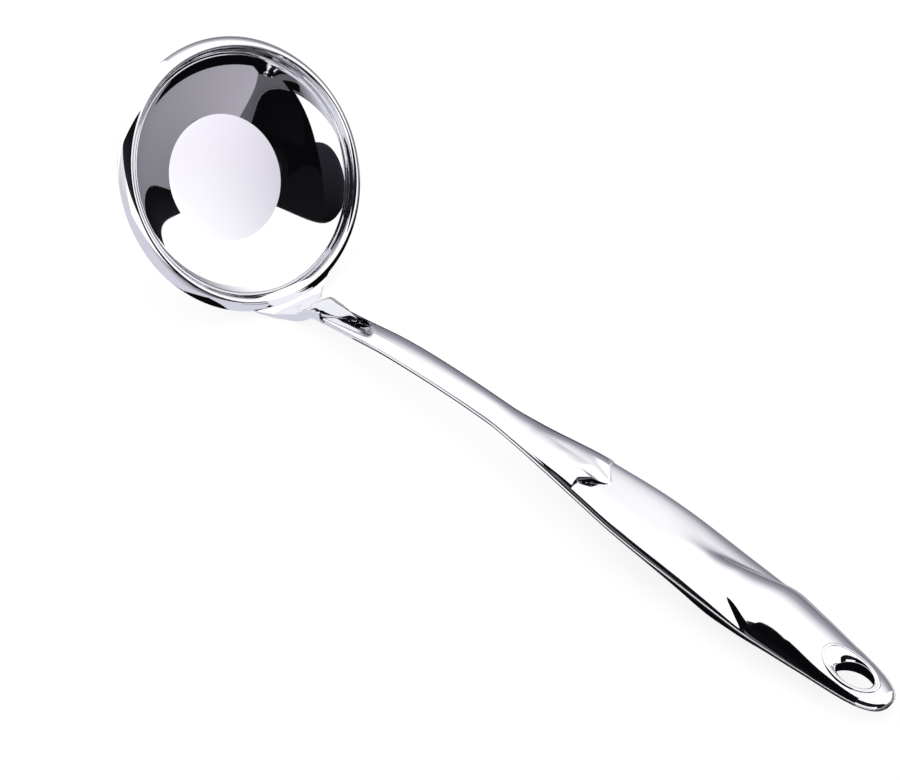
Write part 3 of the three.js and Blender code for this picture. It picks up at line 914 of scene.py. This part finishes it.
@dataclass
class HandleAssembly:
    """The two pressed shells, their seam welds, the neck weld and the sleeve of the eye, in millimetres."""

    place: Placement
    finish: bpy.types.Material
    weld: bpy.types.Material
    handle: HandleForm = HANDLE

    # Stations along the handle, at the step within a few of its lengths and on the nose, and faces across
    rows: int = 420
    step_rows: int = 81
    step_reach: float = 2.0
    nose_rows: int = 60
    columns: int = 112

    # Cut for the slot: its start before the mouth, and its levels as shares of the shaft's half height
    slot_lead: float = 2.0
    slot_levels: tuple[float, float] = (0.4, 3.0)
    slot_steps: int = 60

    # Weld bead of a seam: its height, how far it stands out, its gap to a shell, how far it stops short
    # of the ends, and its least distance from the middle
    seam_height: float = 0.8
    seam_proud: float = 0.35
    seam_gap: float = 0.02
    seam_inset: float = 0.4
    seam_least: float = 0.2
    seam_steps: int = 8

    # Weld bead under the neck: how far it reaches inwards as a share of the mouth, and its sharp angle
    bead_swell: float = 0.28
    bead_crease: float = 60.0
    bead_rings: int = 48
    bead_steps: int = 20

    # Sleeve of the eye: half lengths and half widths at the top, at the throat and at the underside
    eye_from_end: float = 14.0
    eye_mouth: tuple[float, float] = (8.6, 5.1)
    eye_throat: tuple[float, float] = (5.6, 4.1)
    eye_lower: tuple[float, float] = (7.2, 5.1)

    # How far the throat lies behind the middle and above the seam, and how steeply the flare falls to it
    throat_shift: float = 1.7
    throat_level: float = 0.9
    throat_drop: float = 1.6

    # The sleeve's sheet, how far its rolled edge stands above the shell, and its gap to the shells
    eye_sheet: float = 0.9
    eye_proud: float = 0.25
    eye_fit: float = 0.05
    eye_steps: int = 160
    eye_cut_steps: int = 128
    roll_rings: int = 13
    flare_rings: int = 24
    shank_rings: int = 8

    def stations(self) -> np.ndarray:
        """Return distances along the handle, crowded at the step and the nose.

        Returns:
            The distances in rising order.
        """
        handle = self.handle
        nose_start = handle.length - handle.nose_length
        reach = self.step_reach * handle.step_length
        even = np.linspace(handle.mouth, nose_start, self.rows)
        step = handle.step + np.linspace(-reach, reach, self.step_rows)
        nose = nose_start + handle.nose_length * np.sin(np.linspace(0.0, math.pi / 2, self.nose_rows)[1:])
        return np.unique(np.round(np.concatenate([even, step, nose]), 4))

    def shell(self, side: Side, name: str) -> bpy.types.Object:
        """Return one pressed half shell.

        Args:
            side: Upper or lower half.
            name: Name of the object.

        Returns:
            The shell with its eye, and the upper one with its slot for the tongue.
        """
        handle = self.handle
        turn = np.linspace(0.0, math.pi, self.columns + 1)
        s = self.stations()[:, None] + 0.0 * turn
        if side is Side.UPPER:
            s = s + handle.step_bow(s, np.cos(turn))
        y = -handle.half_width(s) * np.cos(turn)
        edge = self.seam_height / 2 + self.seam_gap
        n = np.maximum(handle.height(side, s, y), edge)
        n[:, 0] = n[:, -1] = edge
        grid = handle.place(s, y, side.value * n)
        piece = Piece(name, self.place)
        piece.add_grid(grid if side is Side.UPPER else grid[:, ::-1])
        obj = piece.to_object(self.finish)
        sheet = obj.modifiers.new("sheet", "SOLIDIFY")
        sheet.thickness = handle.sheet * MM
        sheet.offset = 1.0
        Piece.run_modifiers(obj)
        Piece.cut(obj, self.eye_column())
        if side is Side.UPPER:
            Piece.cut(obj, self.tongue_column())
        Piece.shade(obj)
        return obj

    def column(self, name: str, s: np.ndarray, y: np.ndarray, levels: Sequence[float]) -> bpy.types.Object:
        """Return a straight column through the handle over an outline.

        Args:
            name: Name of the object.
            s: Distances of the outline along the handle.
            y: Its distances to the side.
            levels: Lowest and highest level.

        Returns:
            A closed object for cutting.
        """
        piece = Piece(name, self.place)
        piece.add_tube(np.stack([self.handle.place(s, y, n) for n in levels]))
        return piece.to_object(self.finish)

    def oval(self, half: np.ndarray, steps: int, shift: float = 0.0) -> tuple[np.ndarray, np.ndarray]:
        """Return an oval round the eye.

        Args:
            half: Its half length and half width.
            steps: Number of its points.
            shift: How far its middle lies behind that of the eye.

        Returns:
            Distances along the handle and to the side.
        """
        a = np.linspace(0.0, FULL_TURN, steps, endpoint=False)
        middle = self.handle.length - self.eye_from_end + shift
        return middle + half[0] * np.cos(a), half[1] * np.sin(a)

    def eye_column(self) -> bpy.types.Object:
        """Return the oval column that the sleeve fills.

        Returns:
            A closed object for cutting.
        """
        reach = 2.0 * self.handle.grip_half_height
        s, y = self.oval(np.array(self.eye_mouth) + self.eye_sheet + self.eye_fit, self.eye_cut_steps)
        return self.column("eye_column", s, y, (-reach, reach))

    def tongue_column(self) -> bpy.types.Object:
        """Return the pointed column that leaves a dark gap round the tongue.

        Returns:
            A closed object for cutting.
        """
        handle = self.handle
        s = np.linspace(handle.mouth - self.slot_lead, handle.slot_end, self.slot_steps)
        half = handle.slot_half_width(s)
        levels = [handle.shaft_half_height * share for share in self.slot_levels]
        there_and_back = np.concatenate([s, s[::-1]])
        return self.column("tongue_column", there_and_back, np.concatenate([-half, half[::-1]]), levels)

    def seam(self, sign: int, name: str) -> bpy.types.Object:
        """Return the weld bead along one side of the handle.

        Args:
            sign: -1 for the left side, 1 for the right side.
            name: Name of the object.

        Returns:
            The bead, cut off at the eye where the sleeve takes its place.
        """
        handle = self.handle
        s = self.stations()[::2]
        s = s[(s > handle.mouth + self.seam_inset) & (s < handle.length - self.seam_inset)]
        outer = handle.half_width(s)
        inner = np.maximum(outer - handle.sheet, self.seam_least)
        h = self.seam_height / 2
        arc = np.linspace(-math.pi / 2, math.pi / 2, self.seam_steps + 1)
        face = [(outer + self.seam_proud * math.cos(a), h * math.sin(a)) for a in arc]
        rings = np.stack([handle.place(s, sign * w, n) for w, n in [(inner, -h), *face, (inner, h)]], 1)
        piece = Piece(name, self.place)
        piece.add_tube(rings if sign < 0 else rings[:, ::-1])
        obj = piece.to_object(self.weld)
        Piece.cut(obj, self.eye_column())
        Piece.shade(obj)
        return obj

    def eye_ring(self, half: np.ndarray, level: float | Side, shift: float = 0.0,
                 lift: float = 0.0) -> np.ndarray:
        """Return a ring of points round the eye.

        Args:
            half: Its half length and half width.
            level: Its level, or the half of the handle whose face it follows.
            shift: How far its middle lies behind that of the eye.
            lift: How far it stands above that level or face.

        Returns:
            Points of the rim frame.
        """
        s, y = self.oval(half, self.eye_steps, shift)
        if isinstance(level, Side):
            level = level.value * self.handle.height(level, s, y)
        return self.handle.place(s, y, level + lift)

    def sleeve(self) -> bpy.types.Object:
        """Return the flared oval sleeve of the hanging eye.

        Returns:
            A closed ring with a rolled upper edge.
        """
        mouth, throat, lower = (np.array(half) for half in (self.eye_mouth, self.eye_throat, self.eye_lower))
        rings = [self.eye_ring(mouth + self.eye_sheet, Side.LOWER)]
        for a in np.linspace(0.0, math.pi, self.roll_rings):
            rim = mouth + self.eye_sheet * (1.0 + math.cos(a)) / 2.0
            rings.append(self.eye_ring(rim, Side.UPPER, lift=self.eye_proud * math.sin(a)))
        top = rings[-1]
        waist = self.eye_ring(throat, self.throat_level, self.throat_shift)
        above = self.eye_ring(throat, self.throat_level, self.throat_shift, self.throat_drop)
        foot = self.eye_ring(lower, Side.LOWER, self.throat_shift)
        for k in np.linspace(0.0, 1.0, self.flare_rings + 1)[1:]:
            rings.append((1 - k) ** 2 * top + 2 * k * (1 - k) * above + k * k * waist)
        for k in np.linspace(0.0, 1.0, self.shank_rings + 1)[1:]:
            rings.append((1 - k) * waist + k * foot)
        piece = Piece("hang_eye", self.place)
        piece.add_grid(np.stack(rings), wrap_u=True, wrap_v=True)
        obj = piece.to_object(self.finish)
        Piece.shade(obj)
        return obj

    def neck_bead(self) -> bpy.types.Object:
        """Return the weld bead under the neck, round the lower half of the mouth.

        Returns:
            The bead, closed at both ends.
        """
        handle = self.handle
        along = np.linspace(math.pi, FULL_TURN, self.bead_rings)[:, None]
        around = np.linspace(0.0, FULL_TURN, self.bead_steps, endpoint=False)
        swell = 1.0 - self.bead_swell * (1.0 - np.cos(around))
        middle = handle.mouth - handle.clearance - handle.bead / 2
        s = middle + (handle.bead / 2 + handle.clearance) * np.sin(around)
        y = handle.mouth_half_width * swell * np.cos(along)
        n = handle.shaft_half_height * swell * np.sin(along)
        piece = Piece("neck_bead", self.place)
        piece.add_tube(handle.place(s, y, n)[:, ::-1])
        obj = piece.to_object(self.weld)
        Piece.shade(obj, self.bead_crease)
        return obj

    def build(self) -> None:
        """Make the pieces of the handle and hand them to the frame."""
        made = [
            (self.shell(Side.UPPER, "upper_shell"), Slot.HANDLE, "handle_upper_shell"),
            (self.shell(Side.LOWER, "lower_shell"), Slot.HANDLE, "handle_lower_shell"),
            (self.seam(-1, "seam_bead_left"), Slot.WELD, "seam_weld_left"),
            (self.seam(1, "seam_bead_right"), Slot.WELD, "seam_weld_right"),
            (self.neck_bead(), Slot.WELD, "neck_weld"),
            (self.sleeve(), Slot.HANDLE, "hang_eye_sleeve"),
        ]
        for obj, slot, node in made:
            Piece.hand_over(obj, slot, node)


def corner_weights(rows: int, columns: int) -> np.ndarray:
    """Return how much each corner of a grid counts at each of its points.

    Args:
        rows: Rows of the grid.
        columns: Columns of the grid.

    Returns:
        Four shares for each point: the start and end of the first row, then of the last row.
    """
    v, u = np.meshgrid(np.linspace(0.0, 1.0, rows), np.linspace(0.0, 1.0, columns), indexing="ij")
    return np.stack([(1 - v) * (1 - u), (1 - v) * u, v * (1 - u), v * u], -1)


def hang_cloth(name: str, points: np.ndarray, corners: Sequence[str], strength: float = 1.3) -> None:
    """Add a cloth to the stage that only shows in reflections.

    Args:
        name: Name of the cloth.
        points: Its points in rows and columns, in metres.
        corners: Hex codes at the start and end of the first row, then of the last row.
        strength: How brightly its colours are lit.
    """
    rows, columns = points.shape[:2]
    mesh = bpy.data.meshes.new(name)
    mesh.from_pydata(points.reshape(-1, 3).tolist(), [], grid_faces(rows, columns))
    shade = mesh.color_attributes.new("shade", "FLOAT_COLOR", "POINT")
    tint = corner_weights(rows, columns) @ np.array([srgb(code) for code in corners])
    shade.data.foreach_set("color", tint.astype(np.float32).ravel())
    material = empty_material(name + "_cloth")
    tree = material.node_tree
    colour = add_node(tree, "ShaderNodeVertexColor", layer_name="shade")
    glow = add_node(tree, "ShaderNodeEmission", {"Color": colour.outputs["Color"]},
                    values={"Strength": strength})
    add_node(tree, "ShaderNodeOutputMaterial", {"Surface": glow.outputs[0]})
    cloth = add_object(name, mesh, material)
    cloth.visible_camera = False
    cloth.visible_diffuse = False
    cloth.visible_shadow = False
    LOG.info("cloth %s", name)


@dataclass(frozen=True)
class Flag:
    """A cloth hung round the table.

    Attributes:
        name: Name of the cloth.
        azimuth: Where it begins and ends round the table, in degrees from -Y towards +X.
        bottom: Its lowest edge as seen from the table, in degrees.
        top: Its highest edge; without one it reaches up to the edge of the light overhead.
        low: Hex codes of its colour along the lowest edge, at both ends.
        high: Hex codes of its colour along the highest edge, at both ends.
        radius: Its distance from the middle of the table, in metres.
    """

    name: str
    azimuth: tuple[float, float]
    bottom: float
    top: float | None
    low: tuple[str, str]
    high: tuple[str, str]
    radius: float = 3.5

    # Direction at right angles to the straight edge of the light overhead
    LIGHT_EDGE = (-0.61, 0.73, 0.33)

    def build(self, rows: int = 25, columns: int = 41) -> None:
        """Hang the cloth, with its colours spread over rows and columns of points.

        Args:
            rows: Points from its lowest to its highest edge.
            columns: Points round the table.
        """
        a = np.radians(np.linspace(*self.azimuth, columns))
        x, y, z = self.LIGHT_EDGE
        edge = np.arctan((y * np.cos(a) - x * np.sin(a)) / z)
        top = edge if self.top is None else np.full_like(a, math.radians(self.top))
        mix = np.linspace(0.0, 1.0, rows)[:, None]
        e = (1.0 - mix) * math.radians(self.bottom) + mix * top
        points = np.stack([np.sin(a) * np.cos(e), -np.cos(a) * np.cos(e), np.sin(e)], -1)
        hang_cloth(self.name, self.radius * points, (*self.low, *self.high))


@dataclass(frozen=True)
class Mat:
    """A cloth laid on the table in a sector round the bowl; the black ones are painted shadow round the
    bowl, seen only in the steel.

    Attributes:
        name: Name of the cloth.
        azimuth: Where it begins and ends round the bowl, in degrees from -Y towards +X.
        reach: Its nearest and farthest distance from the middle of the bowl, in metres.
        near: Hex codes of its colour along the nearest edge, at both ends.
        far: Hex codes of its colour along the farthest edge, at both ends.
        lift: Its height above the table, in metres.
    """

    name: str
    azimuth: tuple[float, float]
    reach: tuple[float, float]
    near: tuple[str, str]
    far: tuple[str, str]
    lift: float = 0.0002

    # Where the middle of the bowl lies along the ladle, in metres
    BOWL_X = -0.129

    def build(self, rows: int = 12, columns: int = 25) -> None:
        """Lay the cloth just above the table top.

        Args:
            rows: Points from its nearest to its farthest edge.
            columns: Points round the bowl.
        """
        a, r = np.meshgrid(np.radians(np.linspace(*self.azimuth, columns)), np.linspace(*self.reach, rows))
        points = np.stack([r * np.sin(a) + self.BOWL_X, -r * np.cos(a), 0.0 * r + self.lift], -1)
        hang_cloth(self.name, points, (*self.near, *self.far))


@dataclass(frozen=True)
class Board:
    """A flat black four-sided cloth beside the handle, or under it as painted shadow, in metres.

    Attributes:
        name: Name of the cloth.
        x: Where it begins and ends along the ladle.
        y: Where its lower and its upper edge lie across the ladle.
        low: Height of its lower edge.
        high: Height of its upper edge, at both ends.
    """

    name: str
    x: tuple[float, float]
    y: tuple[float, float]
    low: float
    high: tuple[float, float]

    def build(self, steps: int = 9) -> None:
        """Set up the cloth."""
        corners = [(x, y, z) for y, level in zip(self.y, ((self.low, self.low), self.high))
                   for x, z in zip(self.x, level)]
        hang_cloth(self.name, corner_weights(steps, steps) @ np.array(corners), (*BLACK, *BLACK))


@dataclass
class Studio:
    """Table, light, cloths and camera.

    Attributes:
        place: How the rim frame lies in the part's frame.
        cloths: Cloths that the steel mirrors.
        table_half: Half the side of the table, in metres.
        white: Hex code of the light and of the brightest paper.
        paper: Hex code of the table top.
        glow: Share of plain white in the table top as the camera sees it, which keeps its shadow soft.
        mirrored: Hex code of the table top as the steel mirrors it.
        mirrored_strength: How bright that is.
        tent_strength: Brightness of the light all round.
        focal_length: Focal length of the lens, in millimetres.
        sensor_width: Width of the sensor, in millimetres.
        camera_right: Direction to the right in the picture, in the rim frame.
        camera_back: Direction from the ladle to the camera, in the rim frame.
        camera_spot: Place of the camera in the rim frame, in millimetres.
    """

    place: Placement
    cloths: Sequence[Flag | Mat | Board]
    table_half: float = 4.0
    white: str = "ffffff"
    paper: str = "fcfcfc"
    glow: float = 0.85
    mirrored: str = "d0d0da"
    mirrored_strength: float = 1.25
    tent_strength: float = 1.35
    focal_length: float = 104.0
    sensor_width: float = 36.0
    camera_right: tuple[float, float, float] = (0.3439, 0.7549, 0.5585)
    camera_back: tuple[float, float, float] = (-0.1868, -0.5279, 0.8286)
    camera_spot: tuple[float, float, float] = (-70.2, -424.2, 738.0)

    def floor(self) -> None:
        """Lay the white table top."""
        half = self.table_half
        mesh = bpy.data.meshes.new("table_top")
        mesh.from_pydata([(-half, -half, 0), (half, -half, 0), (half, half, 0), (-half, half, 0)], [],
                         [(0, 1, 2, 3)])
        # White paper: matt, with a soft shadow under the ladle
        material = empty_material("white_table")
        tree = material.node_tree
        path = add_node(tree, "ShaderNodeLightPath")
        paper = add_node(tree, "ShaderNodeBsdfDiffuse", values={"Color": srgb(self.paper)})
        lit = add_node(tree, "ShaderNodeEmission", values={"Color": srgb(self.white)})
        bright = add_node(tree, "ShaderNodeMixShader", {1: paper.outputs[0], 2: lit.outputs[0]},
                          values={"Fac": self.glow})
        seen = add_node(tree, "ShaderNodeMixShader", {
            "Fac": path.outputs["Is Camera Ray"], 1: paper.outputs[0], 2: bright.outputs[0]})
        shaded = add_node(tree, "ShaderNodeEmission",
                          values={"Color": srgb(self.mirrored), "Strength": self.mirrored_strength})
        either = add_node(tree, "ShaderNodeMixShader", {
            "Fac": path.outputs["Is Glossy Ray"], 1: seen.outputs[0], 2: shaded.outputs[0]})
        add_node(tree, "ShaderNodeOutputMaterial", {"Surface": either.outputs[0]})
        add_object("table_top", mesh, material)

    def light(self) -> None:
        """Surround the table with soft white light."""
        world = bpy.data.worlds.new("white_tent")
        bpy.context.scene.world = world
        world.use_nodes = True
        tree = world.node_tree
        tree.nodes.clear()
        tent = add_node(tree, "ShaderNodeBackground",
                        values={"Color": srgb(self.white), "Strength": self.tent_strength})
        add_node(tree, "ShaderNodeOutputWorld", {"Surface": tent.outputs[0]})

    def camera(self) -> None:
        """Set the camera where the photograph was taken from."""
        lens = bpy.data.cameras.new("camera")
        lens.lens = self.focal_length
        lens.sensor_width = self.sensor_width
        eye = bpy.data.objects.new("camera", lens)
        bpy.context.scene.collection.objects.link(eye)
        right = Vector(self.place.turn(np.array(self.camera_right))).normalized()
        back = Vector(self.place.turn(np.array(self.camera_back))).normalized()
        turn = Matrix((right, back.cross(right), back)).transposed().to_4x4()
        spot = self.place.to_part(np.array(self.camera_spot))
        eye.matrix_world = Matrix.Translation(spot.tolist()) @ turn
        bpy.context.scene.camera = eye

    def build(self) -> None:
        """Set the stage."""
        self.floor()
        self.light()
        self.camera()
        for cloth in self.cloths:
            cloth.build()
        bpy.context.scene.view_settings.view_transform = "Standard"


def even(code: str) -> tuple[str, str]:
    """Return one colour for both ends of an edge."""
    return (code, code)


BLACK = even("08080a")

# The boards stand in a row on the camera's side of the handle
BOARD_Y = (-0.05, -0.05)
BOARD_HEIGHT = 0.036
TIP_BOARD_HEIGHT = 0.24
# Black strip on the table under the handle: painted shadow, which the steel mirrors as the dark gap under
# the handle
SHADOW_STRIP_Y = (-0.022, 0.022)
SHADOW_STRIP_LIFT = 0.0006

CLOTHS = (
    Flag("flag_left_low", (-38.0, -2.0), 0.0, 28.0, even("c8c4ce"), even("e6e4ea")),
    Flag("flag_front", (-38.0, 70.0), 28.0, None, even("26262c"), even("0c0c0e")),
    Flag("flag_camera", (70.0, 110.0), 0.0, None, even("08080a"), even("141416")),
    Flag("flag_far_right", (146.0, 177.0), 0.0, 10.0, even("0a0a0c"), even("1c1c20")),
    Flag("flag_back_low", (-180.0, -105.0), 0.0, 24.0, even("6c6a74"), even("a09ea6")),
    Flag("flag_back_high", (-180.0, -105.0), 24.0, 46.0, even("a09ea6"), even("ffffff")),
    # Panel seen only in the bowl's flat base: painted reflection, white fading to lavender grey at one end
    # as painted shade
    Flag("disc_reflection_panel", (122.0, 126.2), 21.8, 26.0, ("ffffff", "948ea2"), ("f8f4fa", "f0ecf4")),
    # Black mats round the bowl: painted shadow on the table, which the steel mirrors as the shade under the
    # bowl
    Mat("mat_shadow", (90.0, 150.0), (0.0, 0.145), BLACK, BLACK, lift=0.0003),
    Mat("mat_shadow_bowl", (150.0, 250.0), (0.0, 0.09), BLACK, BLACK),
    Mat("mat_shadow_front", (-45.0, 40.0), (0.0, 0.045), BLACK, BLACK),
    Mat("mat_back", (95.0, 146.0), (0.145, 3.4), ("a8a4ac", "8a888e"), ("a8a4ac", "8a888e")),
    Mat("mat_back_left", (146.0, 180.0), (0.09, 3.4), ("8a888e", "706c76"), ("8a888e", "706c76")),
    Mat("mat_left", (180.0, 300.0), (0.12, 3.4), even("8a8890"), even("8a8890")),
    Mat("mat_camera", (62.0, 95.0), (0.055, 3.4), even("5a5a5e"), ("46464a", "4c4c50")),
    Mat("mat_front", (25.0, 62.0), (0.055, 3.4), ("c8c8d0", "707076"), ("d8d8e0", "707076")),
    # Painted shadow under the handle, seen only in the steel
    Board("shadow_strip_under", (-0.062, 0.155), SHADOW_STRIP_Y, SHADOW_STRIP_LIFT, (SHADOW_STRIP_LIFT,) * 2),
    Board("board_front", (-0.035, 0.025), BOARD_Y, 0.0, (0.006, BOARD_HEIGHT)),
    Board("board_grip", (0.025, 0.092), BOARD_Y, 0.0, (BOARD_HEIGHT,) * 2),
    Board("board_tip", (0.092, 0.156), BOARD_Y, 0.0, (TIP_BOARD_HEIGHT,) * 2),
)


def main() -> None:
    """Build the ladle and its studio."""
    logging.basicConfig(level=logging.INFO, format="%(name)s: %(message)s")
    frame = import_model()
    place = Placement(next(m for m in frame["record"]["mounts"] if m["name"] == "base_face"))
    BowlAssembly(place, MIRROR_BOWL.build()).build()
    HandleAssembly(place, MIRROR_HANDLE.build(), GROUND_WELD.build()).build()
    Studio(place, CLOTHS).build()


if __name__ == "__main__":
    main()
